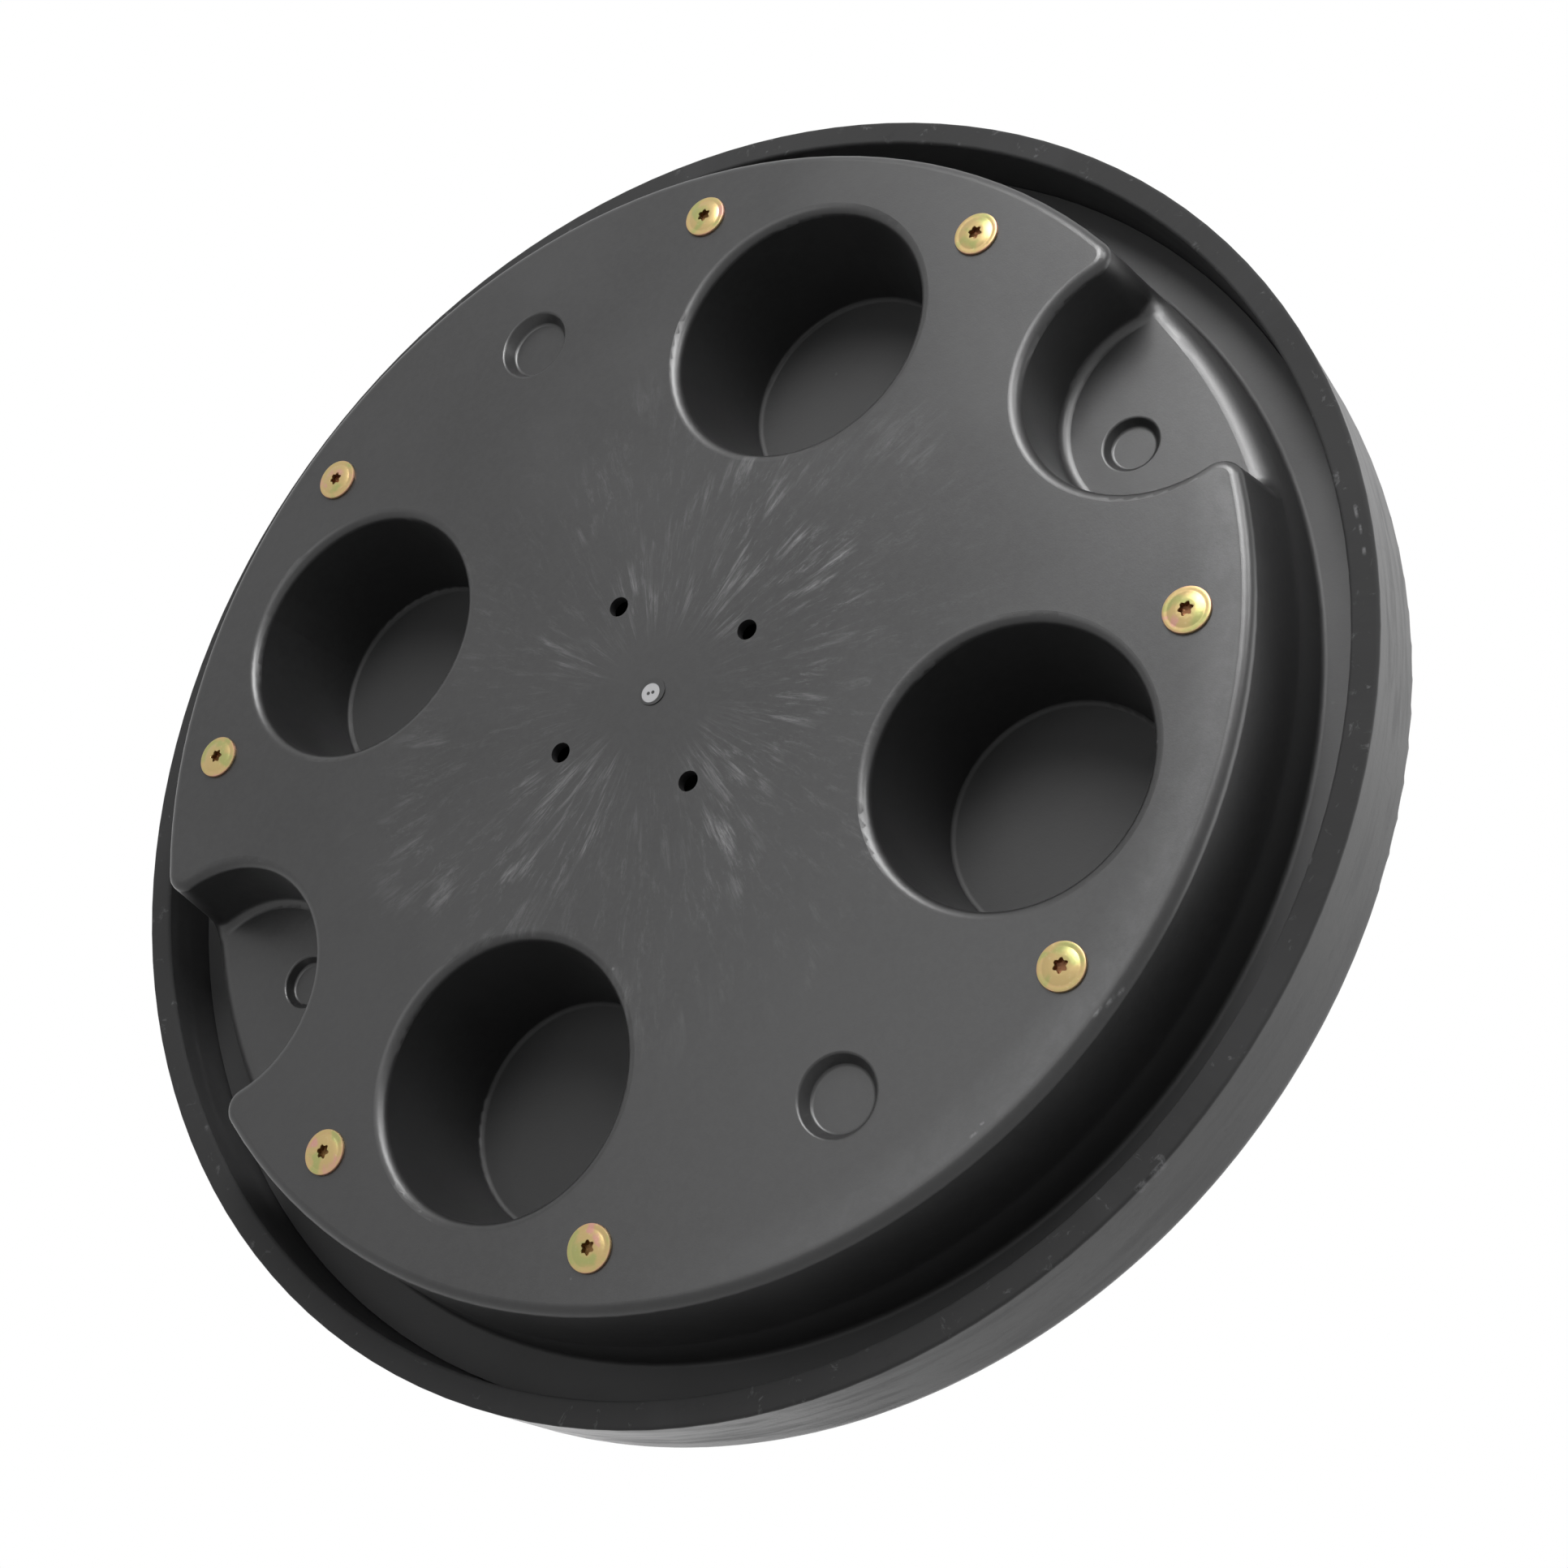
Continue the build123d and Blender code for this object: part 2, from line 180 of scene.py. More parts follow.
class Spot:
    """The shaded point: its place, its distance from the axis and its direction from it."""

    def __init__(self, n):
        self.place = n.add("ShaderNodeTexCoord").outputs["Object"]
        self.x, self.y, self.z = n.add("ShaderNodeSeparateXYZ", {0: self.place}).outputs
        self.far = n.length(self.x, self.y)
        safe = n.math("MAXIMUM", self.far, 0.1 * MM)
        self.turn_x = n.math("DIVIDE", self.x, safe)
        self.turn_y = n.math("DIVIDE", self.y, safe)


def new_material(name):
    material = bpy.data.materials.new(name)
    material.use_nodes = True
    return material, Nodes(material.node_tree)


def edge_sharpness(n, radius, low, high):
    """How sharply the surface turns within radius, from 0 to 1."""
    soft = n.add("ShaderNodeBevel", {"Radius": radius}, samples=6).outputs["Normal"]
    true = n.add("ShaderNodeNewGeometry").outputs["Normal"]
    dot = n.add("ShaderNodeVectorMath", {0: soft, 1: true}, operation="DOT_PRODUCT").outputs["Value"]
    return n.ramp(n.minus(1.0, dot), low, high)


def ray_noise(n, spot, across, along, detail, rough):
    """Noise that runs out from the axis: across is its fineness round the turn, along the radius."""
    ray = n.combine(n.times(spot.turn_x, across), n.times(spot.turn_y, across), n.times(spot.far, along))
    return n.noise(ray, 1.0, detail, rough, 0.4)


def disc_mask(n, spot, centre, radius, soft):
    """1 inside a round spot of the plane, falling to 0 over soft."""
    gap = n.length(n.minus(spot.x, centre[0]), n.minus(spot.y, centre[1]))
    return n.ramp(gap, radius + soft, radius)


# black plastic: its greys, and how many waves each noise has in a metre
tread_tone = 0.024
pan_tone = 0.0185
mark_grey = 0.32
edge_grey = 0.26
dust_grey = 0.22
grime_grey = 0.10
gate_face_grey = 0.42
gate_rim_grey = 0.012
pin_grey = 0.01
grain_fineness = 1400.0
mottle_fineness = 260.0
wave_fineness = 70.0
scuff_fineness = 60.0
dust_fineness = 48.0
cloud_fineness = 7.0
dust_share = 0.10

# the sides of the pan's face where its streaks and its painted sheen band are strongest
streak_side = (0.30, 0.95)
sheen_side = (0.67, 0.74)

# gate mark, off the middle of its disc as in the photograph
gate_radius = 6.5 * MM
gate_spot = (-0.9 * MM, 0.2 * MM)
gate_face_radius = 4.4 * MM
pin_offset = (1.1 * MM, 0.4 * MM)
pin_radius = 0.75 * MM

# sink rings in the tread
sink_spots = ((0.0, 235 * MM), (0.0, -235 * MM))
sink_outer = 16 * MM
sink_inner = 14 * MM

# single strokes: degrees round the axis, radius, half length and half width in millimetres
lip_scratches = (
    (17.6, 311.6, 4.0, 0.5),
    (19.2, 312.2, 3.0, 0.3),
    (21.1, 312.4, 2.4, 0.6),
    (15.4, 309.2, 0.7, 0.5),
    (70.4, 316.4, 5.0, 0.5),
    (72.1, 316.2, 3.6, 0.8),
)
rim_nicks = (
    (64.2, 273.6, 3.4, 0.5),
    (62.9, 275.0, 3.6, 0.5),
    (61.8, 276.0, 2.6, 0.4),
    (78.3, 270.2, 2.6, 0.4),
    (77.2, 269.0, 1.4, 0.3),
)


def stroke(n, spot, degrees, radius, half_long, half_wide):
    """1 on a short stroke along the turn, fading to its ends and sides."""
    a = radians(degrees)
    out = n.towards(spot.x, spot.y, (cos(a), sin(a)))
    along = n.towards(spot.x, spot.y, (-sin(a), cos(a)))
    near = n.ramp(n.gap(out, radius * MM), (half_wide + 0.5) * MM, half_wide * 0.3 * MM)
    return n.times(near, n.ramp(n.math("ABSOLUTE", along), half_long * MM, half_long * 0.3 * MM))


def strokes(n, spot, marks, strength):
    """Several strokes, broken up by fine noise."""
    total = 0.0
    for mark in marks:
        total = n.math("MAXIMUM", total, stroke(n, spot, *mark))
    return n.times(total, n.ramp(n.noise(spot.place, 420.0, 5.0, 0.75), 0.30, 0.66), strength)


def gate_mark(n, spot, level):
    """Masks of a round gate mark on the axis: its pale face, its dark rim and two dark pin holes."""
    on_gate = n.ramp(n.gap(spot.z, level), 1.0 * MM, 0.8 * MM)
    face = n.times(disc_mask(n, spot, gate_spot, gate_face_radius, 0.5 * MM), on_gate)
    rim = n.times(n.ramp(spot.far, gate_radius + 0.9 * MM, gate_radius), n.minus(1.0, face), on_gate)
    pins = 0.0
    for side in (1, -1):
        centre = (gate_spot[0] + side * pin_offset[0], gate_spot[1] + side * pin_offset[1])
        pins = n.math("MAXIMUM", pins, disc_mask(n, spot, centre, pin_radius, 0.2 * MM))
    return face, rim, n.times(pins, on_gate)


def dust(n, spot):
    """Sparse small specks."""
    cells = n.add("ShaderNodeTexVoronoi", {"Vector": spot.place, "Scale": dust_fineness}, feature="F1")
    pick = n.add("ShaderNodeSeparateColor", {0: cells.outputs["Color"]}).outputs[0]
    speck = n.ramp(cells.outputs["Distance"], 0.05, 0.02)
    return n.times(speck, n.ramp(pick, 1.0 - dust_share, 1.02 - dust_share))


def flow_streaks(n, spot):
    """Pale feathered flecks that run out from the pan's gate in loose patches, strongest on one side."""
    on_face = n.ramp(spot.z, face_level + 2 * MM, face_level + 0.6 * MM)
    side = n.ramp(n.towards(spot.x, spot.y, streak_side), -200 * MM, 80 * MM, 0.55, 1.0)
    patches = n.ramp(n.noise(spot.place, 17.0, 2.0, 0.5), 0.44, 0.62)
    bundles = n.ramp(ray_noise(n, spot, 13.0, 30.0, 2.0, 0.5), 0.50, 0.66)
    hairs = n.ramp(ray_noise(n, spot, 40.0, 46.0, 5.0, 0.78), 0.38, 0.72)
    wisps = n.ramp(ray_noise(n, spot, 20.0, 52.0, 6.0, 0.85), 0.50, 0.80)
    wide = n.times(n.ramp(spot.far, 190 * MM, 100 * MM), n.ramp(spot.far, 22 * MM, 50 * MM))
    feathers = n.times(patches, bundles, hairs, wide, side, 0.42)
    scattered = n.times(wisps, n.ramp(patches, 0.0, 1.0, 0.45, 1.0), wide, side, 0.32)
    return n.times(n.plus(feathers, scattered), on_face)


def face_rim(n, spot):
    """Painted sheen: a pale band inside the edge of the pan's face, streaked like fine scratches and
    strongest on one side, and its nicks.
    """
    on_face = n.ramp(spot.z, face_level + 4 * MM, face_level + 1.5 * MM)
    side = n.ramp(n.towards(spot.turn_x, spot.turn_y, sheen_side), 0.35, 0.95)
    inner = n.ramp(spot.far, face_flat_radius - 24 * MM, face_flat_radius - 2 * MM)
    outer = n.ramp(spot.far, face_flat_radius + 1 * MM, face_flat_radius - 1 * MM)
    sheen_streaks = n.ramp(ray_noise(n, spot, 16.0, 90.0, 5.0, 0.7), 0.30, 0.75, 0.45, 1.0)
    # painted sheen: a pale band where the face turns to its edge, strongest on the side the light comes from
    sheen_band = n.times(inner, outer, sheen_streaks, side, 0.14)
    return n.times(n.plus(sheen_band, strokes(n, spot, rim_nicks, 0.40)), on_face)


def tread_scuffs(n, spot):
    """Whitish scuffs round the centre disc, and two faint sink rings."""
    on_top = n.ramp(spot.z, tread_level - 2 * MM, tread_level - 1 * MM)
    patches = n.noise(spot.place, 22.0, 4.0, 0.65, 0.8)
    flecks = ray_noise(n, spot, 26.0, 60.0, 4.0, 0.7)
    ring = n.times(n.ramp(spot.far, 140 * MM, 70 * MM), n.ramp(spot.far, 20 * MM, 55 * MM))
    scuffs = n.times(n.ramp(patches, 0.45, 0.66), n.ramp(flecks, 0.44, 0.70), ring, on_top, 0.34)
    wide = n.times(n.ramp(patches, 0.56, 0.72), n.ramp(spot.far, 290 * MM, 100 * MM), on_top, 0.10)
    sinks = 0.0
    for centre in sink_spots:
        outer = disc_mask(n, spot, centre, sink_outer, 1.2 * MM)
        inner = disc_mask(n, spot, centre, sink_inner, 1.2 * MM)
        sinks = n.plus(sinks, n.minus(outer, inner))
    return n.plus(scuffs, wide, n.times(sinks, on_top, 0.05))


def skirt_grime(n, spot):
    """Long pale smears that run round the outside of the skirt."""
    on_skirt = n.ramp(spot.far, skirt_radius - 14 * MM, skirt_radius - 10 * MM)
    turn = n.combine(n.times(spot.turn_x, 5.0), n.times(spot.turn_y, 5.0), n.times(spot.z, 150.0))
    return n.times(n.ramp(n.noise(turn, 1.0, 5.0, 0.6, 0.5), 0.45, 0.72), on_skirt)


def pan_marks_and_painted_light(n, spot, colour, rough):
    """The pan's colour and roughness, with painted shade on its cup floors and painted light on its brim,
    its pale marks with a painted sheen band, and the height of its gate.
    """
    high = n.ramp(spot.z, channel_level - 25 * MM, channel_level - 19 * MM)
    brim = n.times(high, n.ramp(spot.far, face_flat_radius - 2 * MM, face_flat_radius + 4 * MM))
    shaded_cup_floor = n.times(n.ramp(n.gap(spot.z, channel_level), 1.5 * MM, 0.5 * MM), n.minus(1.0, brim))
    # painted shade: the deep cup floors are drawn darker than the rest of the pan
    colour = n.to_grey(colour, pan_tone * 0.4, shaded_cup_floor, 0.8)
    # painted light: the brim in the channel is drawn lighter
    colour = n.to_grey(colour, pan_tone * 1.3, brim, 0.8)
    rough = n.plus(rough, n.times(shaded_cup_floor, 0.30), n.times(brim, 0.24))
    # the pale marks hold the flow streaks and, from face_rim, a painted sheen band with its nicks
    marks = n.plus(flow_streaks(n, spot), face_rim(n, spot))
    return colour, rough, marks, face_level - gate_height


def tread_marks_and_painted_shade(n, spot, colour, rough):
    """The tread shell's colour and roughness, with painted shade on its lip, its pale marks and the height
    of its gate.
    """
    inside = n.ramp(spot.z, tread_level - 6 * MM, tread_level - 12 * MM)
    lip = n.ramp(n.gap(spot.z, lip_level), 2.5 * MM, 0.4 * MM)
    grime = skirt_grime(n, spot)
    # painted shade: the skirt's lip is drawn darker
    colour = n.to_grey(colour, tread_tone * 0.6, lip, 0.9)
    colour = n.to_grey(colour, grime_grey, grime, 0.22)
    rough = n.plus(rough, n.times(inside, 0.13), n.times(lip, 0.34), n.times(grime, 0.14))
    rubbed_lip = n.times(lip, n.ramp(n.noise(spot.place, 130.0, 4.0, 0.65, 0.6), 0.60, 0.78), 0.30)
    low = n.ramp(spot.z, lip_level + 6 * MM, lip_level + 3 * MM)
    scratches = n.times(strokes(n, spot, lip_scratches, 0.45), low)
    marks = n.plus(tread_scuffs(n, spot), rubbed_lip, scratches)
    return colour, rough, marks, tread_level


def plastic(name, tone, own_marks_and_painted_light):
    """Black moulded plastic: fine grain, uneven gloss, pale edges that are partly scuffed and partly a
    painted highlight, handling marks, and each part's painted shade and light.
    """
    material, n = new_material(name)
    spot = Spot(n)
    grain = n.noise(spot.place, grain_fineness, 2.0, 0.6)
    wave = n.noise(spot.place, wave_fineness, 3.0, 0.5)
    cloud = n.noise(spot.place, cloud_fineness, 4.0, 0.55, 0.4)
    mottle = n.noise(spot.place, mottle_fineness, 4.0, 0.7, 0.5)
    stretched = n.add("ShaderNodeMapping", {"Vector": spot.place, "Scale": (1.0, 5.0, 3.0)}).outputs[0]
    scuff = n.noise(stretched, scuff_fineness, 5.0, 0.7, 1.5)
    colour = n.mix(n.ramp(cloud, 0.35, 0.68), grey(tone * 0.88), grey(tone * 1.12))
    colour = n.mix(n.ramp(mottle, 0.35, 0.65, 0.0, 0.5), colour, grey(tone * 1.35))
    colour = n.mix(n.ramp(scuff, 0.66, 0.84, 0.0, 0.10), colour, grey(tone * 3.0))
    colour = n.to_grey(colour, dust_grey, dust(n, spot), 0.35)
    rough = n.plus(n.ramp(cloud, 0.3, 0.7, 0.33, 0.41, "LINEAR"), n.ramp(scuff, 0.55, 0.8, 0.0, 0.08))
    colour, rough, marks, gate_level = own_marks_and_painted_light(n, spot, colour, rough)
    colour = n.mix(marks, colour, grey(mark_grey))
    rough = n.plus(rough, n.times(marks, 0.3))
    patchy = n.ramp(n.noise(spot.place, 45.0, 4.0, 0.6), 0.40, 0.72, 0.0, 0.8)
    # pale sharp edges: partly scuffed plastic, partly a painted highlight for the glints along creases and
    # fillets
    wear_and_glint = n.times(edge_sharpness(n, 1.0 * MM, 0.12, 0.32), patchy)
    colour = n.to_grey(colour, edge_grey, wear_and_glint, 0.25)
    face, rim, pins = gate_mark(n, spot, gate_level)
    colour = n.to_grey(colour, gate_face_grey, face, 0.92)
    colour = n.to_grey(colour, gate_rim_grey, rim, 0.7)
    colour = n.mix(pins, colour, grey(pin_grey))
    normal = n.bump(grain, 0.05 * MM, 0.7, n.bump(wave, 0.25 * MM, 0.5))
    look = {"Base Color": colour, "Roughness": rough, "Normal": normal, "IOR": 1.49}
    n.finish(n.add("ShaderNodeBsdfPrincipled", look))
    return material


# yellow zinc: the flange's peach, the dome's gold, and what lies over both
peach = ((0.47, 0.34, 0.17, 1), (0.50, 0.29, 0.18, 1))
gold = ((0.31, 0.34, 0.12, 1), (0.46, 0.36, 0.15, 1))
pink = (0.52, 0.28, 0.22, 1)
pale_gold = (0.62, 0.56, 0.38, 1)
rubbed_zinc = (0.70, 0.61, 0.43, 1)


def zinc(name, shade=1.0):
    """Yellow zinc plating: gold with faint green and pink bands, brighter where it is scuffed. A shade below
    1 gives a darker, browner copy, which is painted shade.
    """
    material, n = new_material(name)
    spot = Spot(n)
    film = n.noise(spot.place, 95.0, 2.0, 0.4, 0.3)
    speck = n.noise(spot.place, 900.0, 3.0, 0.6)
    dome = n.ramp(spot.z, face_level - 1.35 * MM, face_level - 1.50 * MM)
    flange_colour = n.mix(n.ramp(film, 0.40, 0.56), *peach)
    dome_colour = n.mix(n.ramp(film, 0.36, 0.50), *gold)
    colour = n.mix(n.times(dome, 0.8), flange_colour, dome_colour)
    colour = n.mix(n.ramp(film, 0.60, 0.70), colour, pink)
    colour = n.mix(n.ramp(speck, 0.58, 0.76, 0.0, 0.30), colour, pale_gold)
    colour = n.mix(n.times(edge_sharpness(n, 0.5 * MM, 0.05, 0.4), 0.45), colour, rubbed_zinc)
    # painted shade: a darker, browner copy of the zinc for the star recess
    if shade < 1.0:
        colour = n.mix(1.0, colour, (shade, shade * 0.8, shade * 0.6, 1), "MULTIPLY")
    rough = n.ramp(speck, 0.3, 0.7, 0.30, 0.42, "LINEAR")
    normal = n.bump(speck, 0.03 * MM, 0.6)
    look = {"Base Color": colour, "Metallic": 0.85, "Roughness": rough, "Normal": normal}
    n.finish(n.add("ShaderNodeBsdfPrincipled", look))
    return material


tread_plastic = plastic("tread_plastic", tread_tone, tread_marks_and_painted_shade)
pan_plastic = plastic("pan_plastic", pan_tone, pan_marks_and_painted_light)
screw_zinc = zinc("screw_zinc")
# the star recess takes a darker copy of the zinc: painted shade
recess_zinc = zinc("screw_recess", 0.45)


def paint(obj, material):
    """Give every slot of obj one material."""
    obj.data.materials.clear()
    obj.data.materials.append(material)


paint(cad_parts["cover"], tread_plastic)
paint(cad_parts["inner_pan"], pan_plastic)

# mesh helpers


def add_piece(name, points, faces, material, smooth=True):
    """A mesh object with one material, its points in the row frame."""
    mesh = bpy.data.meshes.new(name)
    mesh.from_pydata([tuple(p) for p in points], [], faces)
    mesh.validate()
    mesh.polygons.foreach_set("use_smooth", [smooth] * len(mesh.polygons))
    mesh.materials.append(material)
    obj = bpy.data.objects.new(name, mesh)
    bpy.context.scene.collection.objects.link(obj)
    return obj


def ring_faces(first, second, count):
    """Quads between two closed rings that start at those point numbers."""
    return [(first + k, first + (k + 1) % count, second + (k + 1) % count, second + k) for k in range(count)]


def turned_over(faces):
    """The same faces, seen from their other side."""
    return [tuple(reversed(face)) for face in faces]


# screws
screw_sides = 72
sharp_angle = radians(38)
head_radius = 10.5 * MM
flange_height = 1.5 * MM
dome_radius = 8.0 * MM
crown_radius = 4.6 * MM
recess_tip = 3.3 * MM
recess_root = 2.35 * MM
recess_depth = 3.0 * MM
recess_lobes = 6
shank_radius = 4.0 * MM
shank_end = face_level + 5.0 * MM
thread_core = 2.9 * MM
thread_crest = 3.5 * MM
thread_pitch = 4.0 * MM
thread_half_width = 0.18
thread_steps = 8
thread_start = shank_end + 0.5 * MM
tip_length = 9.0 * MM
tip_share = 0.15
tip_height = 1.0 * MM
screw_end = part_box(screw_names[0])[1].z
flange_low = face_level - flange_height
first_screw_turn = radians(17)
next_screw_turn = radians(47)

# rings of the star recess, as a share of its size and a height
star_rings = (
    (0.55, recess_depth),
    (0.98, recess_depth * 0.96),
    (1.00, recess_depth * 0.10),
    (1.08, 0.02 * MM),
)

# rings of the dome, flange and shank, as a radius and a height
head_rings = (
    (4.1 * MM, 0.0),
    (crown_radius, 0.06 * MM),
    (5.9 * MM, 0.26 * MM),
    (7.0 * MM, 0.55 * MM),
    (7.7 * MM, 0.80 * MM),
    (dome_radius, flange_low + 0.02 * MM),
    (dome_radius + 0.3 * MM, flange_low + 0.05 * MM),
    (9.1 * MM, flange_low),
    (head_radius - 0.55 * MM, flange_low + 0.03 * MM),
    (head_radius - 0.22 * MM, flange_low + 0.14 * MM),
    (head_radius - 0.04 * MM, flange_low + 0.42 * MM),
    (head_radius, flange_low + 0.75 * MM),
    (head_radius - 0.02 * MM, face_level - 0.15 * MM),
    (head_radius - 0.20 * MM, face_level),
    (shank_radius, face_level),
    (shank_radius, shank_end),
)


def star_radius(angle):
    """Radius of the star recess at an angle."""
    mean = (recess_tip + recess_root) / 2
    return mean + (recess_tip - recess_root) / 2 * cos(recess_lobes * angle)


def thread_radius(angle, level):
    """Radius of the thread at an angle and a height, narrowing to the tip."""
    taper_start = screw_end - tip_length
    taper = max(tip_share, (screw_end - level) / tip_length) if level >= taper_start else 1.0
    phase = (level / thread_pitch - angle / (2 * pi)) % 1.0
    crest = max(0.0, 1.0 - abs(phase - 0.5) / thread_half_width)
    return (thread_core + (thread_crest - thread_core) * crest) * taper


def make_screw(name, node, turn):
    """A flanged screw, head down: star recess, low dome, flange, shank, thread and tip."""
    low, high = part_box(node)
    centre = Vector(((low.x + high.x) / 2, (low.y + high.y) / 2, 0))
    angles = [2 * pi * k / screw_sides for k in range(screw_sides)]
    points = [centre + Vector((0, 0, recess_depth))]

    def add_ring(radii, level):
        for a, r in zip(angles, radii):
            points.append(centre + Vector((r * cos(a + turn), r * sin(a + turn), level)))

    for scale, level in star_rings:
        add_ring([star_radius(a) * scale for a in angles], level)
    for radius, level in head_rings:
        add_ring([radius] * screw_sides, level)
    steps = int((screw_end - thread_start) / (thread_pitch / thread_steps))
    for s in range(steps + 1):
        level = thread_start + (screw_end - tip_height - thread_start) * s / steps
        add_ring([thread_radius(a, level) for a in angles], level)
    points.append(centre + Vector((0, 0, screw_end)))

    rings = (len(points) - 2) // screw_sides
    last = 1 + (rings - 1) * screw_sides
    tip = len(points) - 1
    faces = [(0, 1 + k, 1 + (k + 1) % screw_sides) for k in range(screw_sides)]
    for first in range(1, last, screw_sides):
        faces += ring_faces(first, first + screw_sides, screw_sides)
    faces += [(last + (k + 1) % screw_sides, last + k, tip) for k in range(screw_sides)]

    obj = add_piece(name, points, turned_over(faces), screw_zinc)
    obj.data.materials.append(recess_zinc)
    recess_faces = screw_sides * (len(star_rings) - 1)
    for polygon in obj.data.polygons[:recess_faces]:
        polygon.material_index = 1
    obj.data.set_sharp_from_angle(angle=sharp_angle)
    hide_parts(node)
    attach(obj, "root")


for index, node in enumerate(screw_names):
    make_screw(f"{node}_detail", node, first_screw_turn + next_screw_turn * index)

# raised tread
lozenge_pitch = 29.0 * MM
lozenge_turn = radians(8.7)
lozenge_phase = 11.2 * MM
lozenge_length = 26.0 * MM
lozenge_width = 9.0 * MM
lozenge_height = 1.25 * MM
lozenge_spread = (1.6 * MM, 0.8 * MM)
lozenge_arc_steps = 8
tread_radius = 290.0 * MM
disc_radius = 63.0 * MM
field_low = Vector((-47.0, 76.0)) * MM
field_high = Vector((50.0, 117.0)) * MM
pocket_inner = 212.0 * MM
pocket_outer = 273.0 * MM
pocket_half_width = 48.0 * MM
flank_place = Vector((237.6, 66.0)) * MM
flank_radius = 10.5 * MM
lozenge_reach = 13.0 * MM

# rings of a lozenge's shoulder: trimmed length and width at each side, and share of the height
lozenge_rings = (
    (0.0, 0.0, 0.0),
    (0.55 * MM, 0.35 * MM, 0.55),
    (1.1 * MM, 0.7 * MM, 0.9),
    (1.7 * MM, 1.05 * MM, 1.0),
)


def keeps_clear(x, y):
    """True where a lozenge clears the border, disc, label field, pockets and holes."""
    r = hypot(x, y)
    reach = lozenge_reach
    if r > tread_radius - reach or r < disc_radius + reach:
        return False
    beside_field = field_low.x - reach < x < field_high.x + reach
    in_field = beside_field and field_low.y - reach < y < field_high.y + reach
    beside_pocket = pocket_inner - reach < abs(x) < pocket_outer + reach
    in_pocket = beside_pocket and abs(y) < pocket_half_width + reach
    near_hole = hypot(abs(x) - flank_place.x, abs(y) - flank_place.y) < flank_radius + reach
    return not (in_field or in_pocket or near_hole)


def lens_outline(length, width, steps):
    """Points of a two-arc lens round the origin, its long axis along X."""
    sagitta = width / 2
    half = length / 2
    radius = (half * half + sagitta * sagitta) / (2 * sagitta)
    spread = 2 * atan2(sagitta, half)
    points = []
    for side in (1, -1):
        for k in range(steps):
            a = -spread + 2 * spread * k / steps
            x = radius * sin(a) * side
            y = (radius * cos(a) - (radius - sagitta)) * side
            points.append((x, y))
    return points


def add_lozenge(points, faces, x, y, turn):
    """One low lens with rounded shoulders, its long axis at that turn."""
    rings = []
    for trim_length, trim_width, rise in lozenge_rings:
        length = lozenge_length + lozenge_spread[0] - 2 * trim_length
        width = lozenge_width + lozenge_spread[1] - 2 * trim_width
        level = tread_level + lozenge_height * rise
        rings.append(len(points))
        for px, py in lens_outline(length, width, lozenge_arc_steps):
            points.append((x + px * cos(turn) - py * sin(turn), y + px * sin(turn) + py * cos(turn), level))
    sides = 2 * lozenge_arc_steps
    for first, second in zip(rings, rings[1:]):
        faces += ring_faces(second, first, sides)
    faces.append(tuple(rings[-1] + k for k in reversed(range(sides))))


def make_lozenges(name):
    """All lozenges of the tread as one piece, on a grid whose cells take turns in direction."""
    points = []
    faces = []
    span = ceil(tread_radius / lozenge_pitch) + 1
    for i in range(-span, span + 1):
        for j in range(-span, span + 1):
            along = i * lozenge_pitch + lozenge_phase
            across = j * lozenge_pitch
            x = along * cos(lozenge_turn) - across * sin(lozenge_turn)
            y = along * sin(lozenge_turn) + across * cos(lozenge_turn)
            if keeps_clear(x, y):
                add_lozenge(points, faces, x, y, lozenge_turn + (i + j) % 2 * pi / 2)
    obj = add_piece(name, points, turned_over(faces), tread_plastic)
    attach(obj, "root")


make_lozenges("tread_lozenges")

# stage: floor, world, lamps
white = (1, 1, 1, 1)
floor_reach = 6.0
floor_grey = (0.46, 0.46, 0.46, 1)
floor_glow = 0.56
floor_fade = (0.7, 2.6)
ambient = 0.35


def floor_material():
    """Pale floor that shows only to a camera above it and lets the light from below through."""
    material, n = new_material("floor")
    above = n.minus(1.0, n.add("ShaderNodeNewGeometry").outputs["Backfacing"])
    shown = n.times(n.add("ShaderNodeLightPath").outputs["Is Camera Ray"], above)
    pale = n.add("ShaderNodeBsdfDiffuse", {"Color": floor_grey})
    glow = n.add("ShaderNodeEmission", {"Color": white, "Strength": floor_glow})
    lit = n.add("ShaderNodeAddShader", {0: pale.outputs[0], 1: glow.outputs[0]})
    distance = n.ramp(Spot(n).far, *floor_fade)
    horizon = n.add("ShaderNodeEmission", {"Color": white, "Strength": 1.0})
    swept = n.add("ShaderNodeMixShader", {0: distance, 1: lit.outputs[0], 2: horizon.outputs[0]})
    clear = n.add("ShaderNodeBsdfTransparent")
    n.finish(n.add("ShaderNodeMixShader", {0: shown, 1: clear.outputs[0], 2: swept.outputs[0]}))
    return material


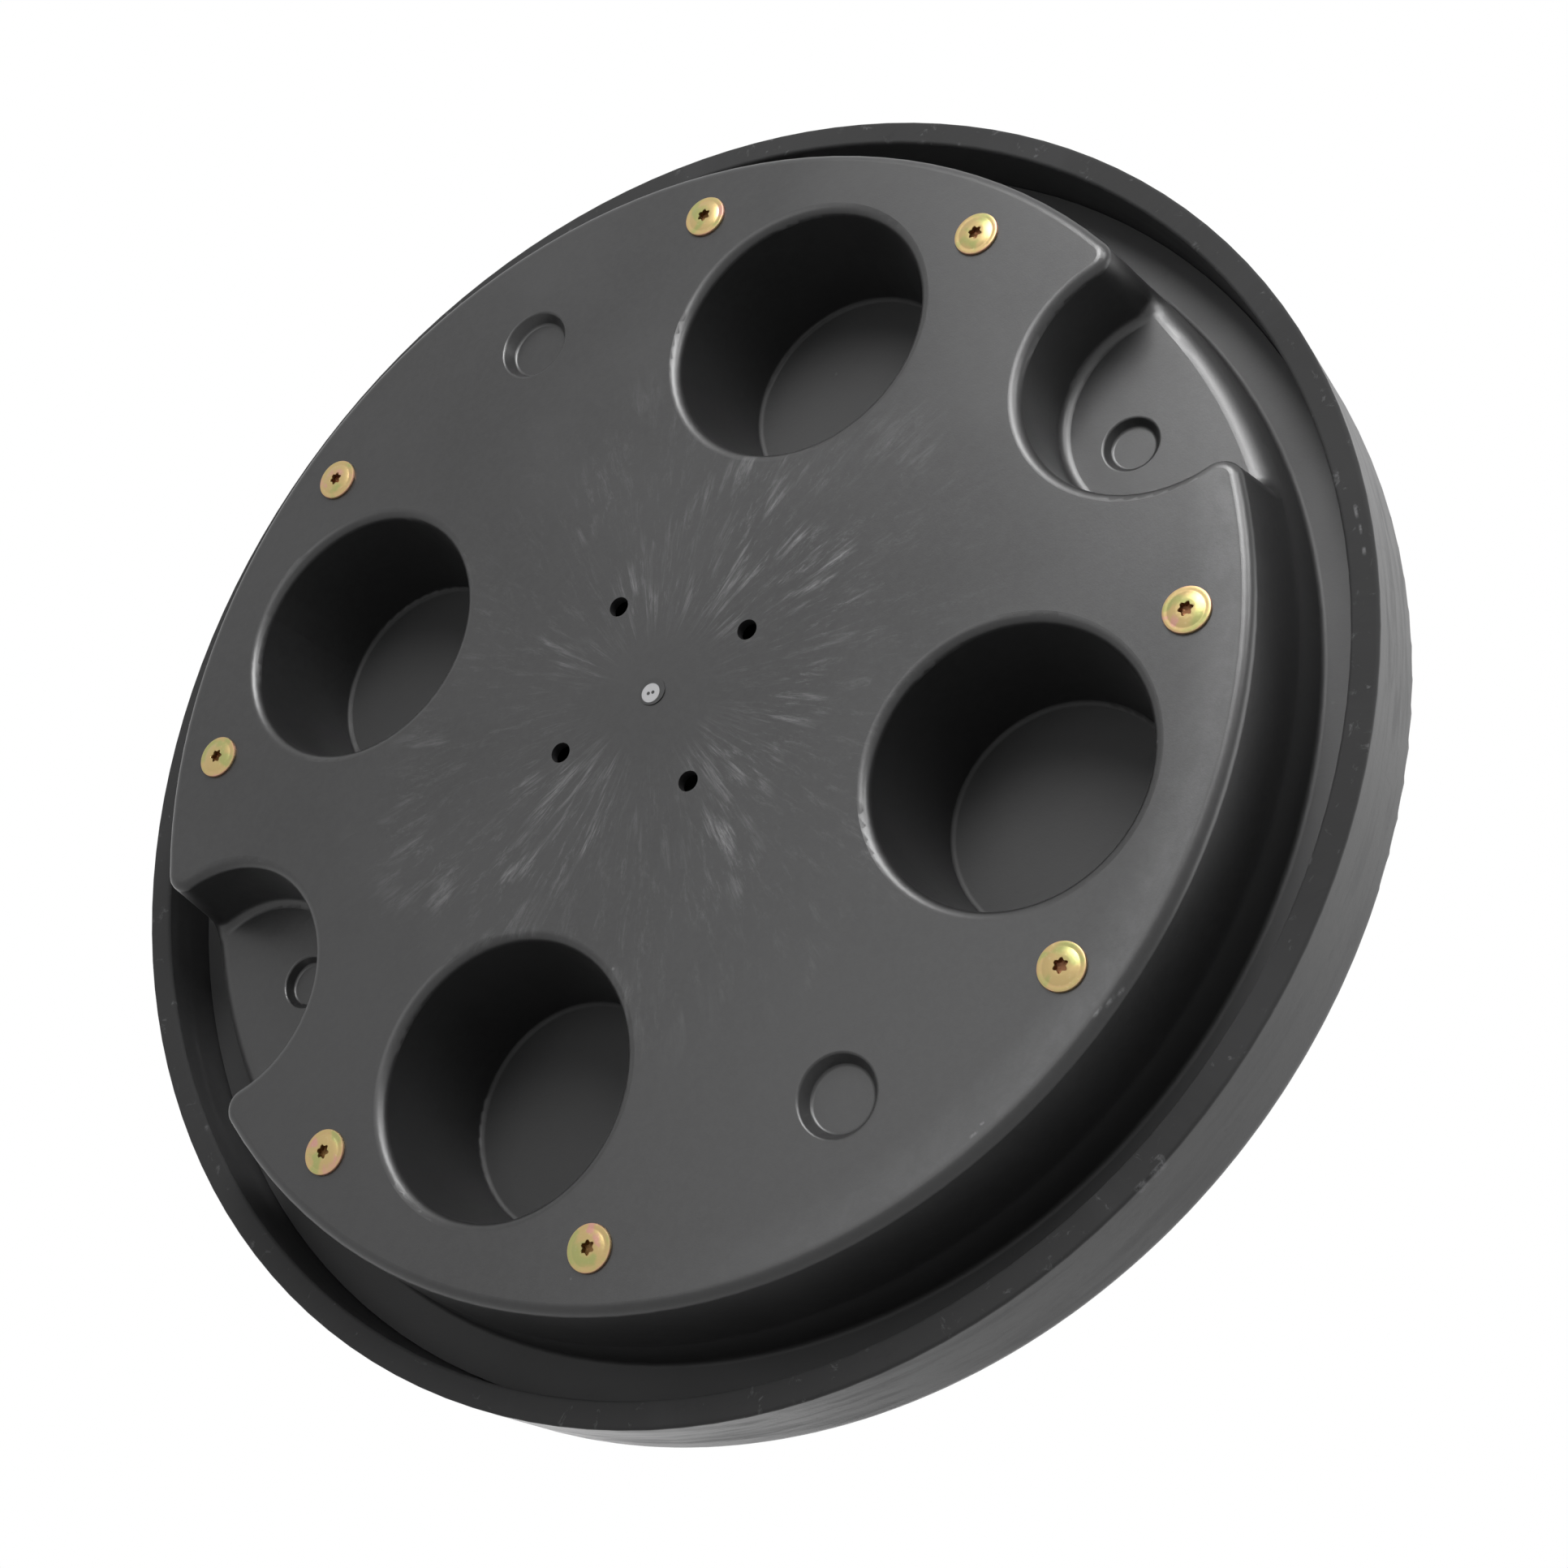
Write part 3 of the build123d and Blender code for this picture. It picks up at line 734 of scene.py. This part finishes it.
corners = ((-1, -1), (1, -1), (1, 1), (-1, 1))
floor_points = [(x * floor_reach, y * floor_reach, 0) for x, y in corners]
floor = add_piece("floor", floor_points, [(0, 1, 2, 3)], floor_material(), smooth=False)

# the world is white to the camera and in reflections, and lights the object softly
world = bpy.data.worlds.new("studio")
world.use_nodes = True
bpy.context.scene.world = world
n = Nodes(world.node_tree)
path = n.add("ShaderNodeLightPath").outputs
seen = n.math("MAXIMUM", path["Is Glossy Ray"], path["Is Transmission Ray"])
seen = n.math("MAXIMUM", path["Is Camera Ray"], seen)
level = n.plus(n.times(seen, 1.0 - ambient), ambient)
background = n.add("ShaderNodeBackground", {"Color": white, "Strength": level})
n.add("ShaderNodeOutputWorld", {"Surface": background.outputs[0]})

pan_only = bpy.data.collections.new("pan_only")
pan_only.objects.link(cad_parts["inner_pan"])


def area_lamp(name, place, target, size, power, gloss_only=False):
    """A round soft lamp; a gloss-only one adds reflections to the pan alone."""
    data = bpy.data.lights.new(name, "AREA")
    data.shape = "DISK"
    data.size = size
    data.energy = power
    lamp = bpy.data.objects.new(name, data)
    if gloss_only:
        lamp.visible_diffuse = False
        lamp.light_linking.receiver_collection = pan_only
    bpy.context.scene.collection.objects.link(lamp)
    look_at(lamp, Vector(place), Vector(target), Vector((0.3, 0.2, 1)))


# each lamp: name, place, what it points at, diameter in metres, power in watts
middle = (0, 0, 0.04)
right_of_middle = (0.15, -0.05, 0.0)
area_lamp("under_key", (0.95, -0.80, -1.25), middle, 1.2, 32.0)
area_lamp("under_gloss", (0.75, -0.95, -1.45), right_of_middle, 0.8, 26.0, gloss_only=True)
area_lamp("under_sheen", (-0.35, -0.25, -1.45), middle, 0.9, 4.0, gloss_only=True)
area_lamp("under_edge", (1.45, -0.20, -0.80), middle, 0.5, 10.0, gloss_only=True)
area_lamp("side_fill", (1.55, 0.60, 0.70), middle, 1.4, 14.0)
area_lamp("upper_key", (-1.1, -0.7, 1.9), middle, 2.6, 36.0)
area_lamp("upper_fill", (1.35, -0.8, 1.35), middle, 2.0, 7.0)

bpy.context.scene.view_settings.view_transform = "Standard"
